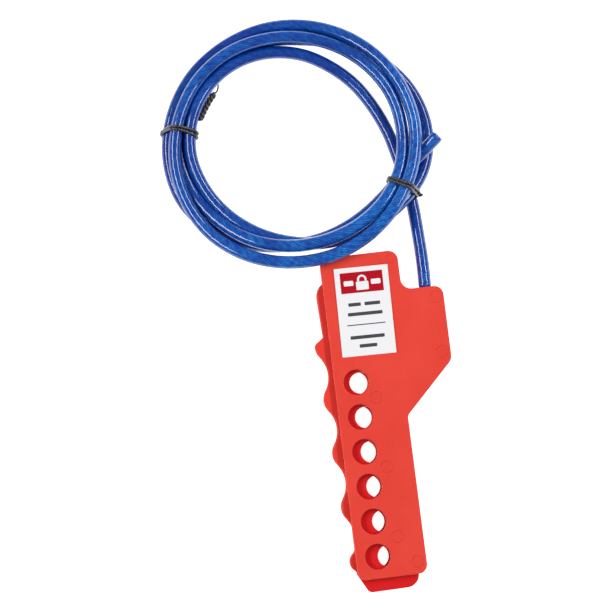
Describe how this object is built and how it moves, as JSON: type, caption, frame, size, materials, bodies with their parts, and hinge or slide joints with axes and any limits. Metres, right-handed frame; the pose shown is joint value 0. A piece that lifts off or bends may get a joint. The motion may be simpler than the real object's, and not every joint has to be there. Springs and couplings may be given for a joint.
{
  "type": "cable lockout hasp",
  "caption": "Lockout hasp with a scissor-action grip lever between two moulded plates, a row of padlock holes and a coiled, jacketed wire rope.",
  "frame": {"origin": "under the centre of the body's bounding box, with the lever closed and without the loose cable, on the surface the back face lies on", "axes": "+Y along the body towards the head that holds the cable, +Z out of the front face, +X towards the shoulder where the cable comes out"},
  "size_m": [0.1196, 0.2549, 0.0165],
  "materials": {
    "plate": "satin moulding",
    "lever": "satin moulding",
    "pins": "satin moulding",
    "label": "printed film",
    "jacket": "clear glossy jacket over stranded rope",
    "steel": "stranded wire",
    "ferrule": "crimped",
    "tie": "wire in a plastic sleeve"
  },
  "bodies": {
    "housing": {"back_shell": "plate", "front_plate": "plate", "pivot_pin": "pins", "corner_pins": "pins", "stop_pins": "pins", "label": "label", "wire_rope": "steel", "crimp_ferrule": "ferrule", "cable_tail": "jacket", "cable_lead": "jacket", "cable_coil": "jacket", "cable_end": "jacket", "twist_tie_left": "tie", "twist_tie_right": "tie"},
    "lever": {"lever": "lever"}
  },
  "joints": [
    {"name": "lever_hinge", "type": "hinge", "parent": "housing", "child": "lever", "pos_m": [-0.00608, 0.0603, 0.0061], "axis": [0, 0, 1], "range_deg": [-14, 0]}
  ]
}
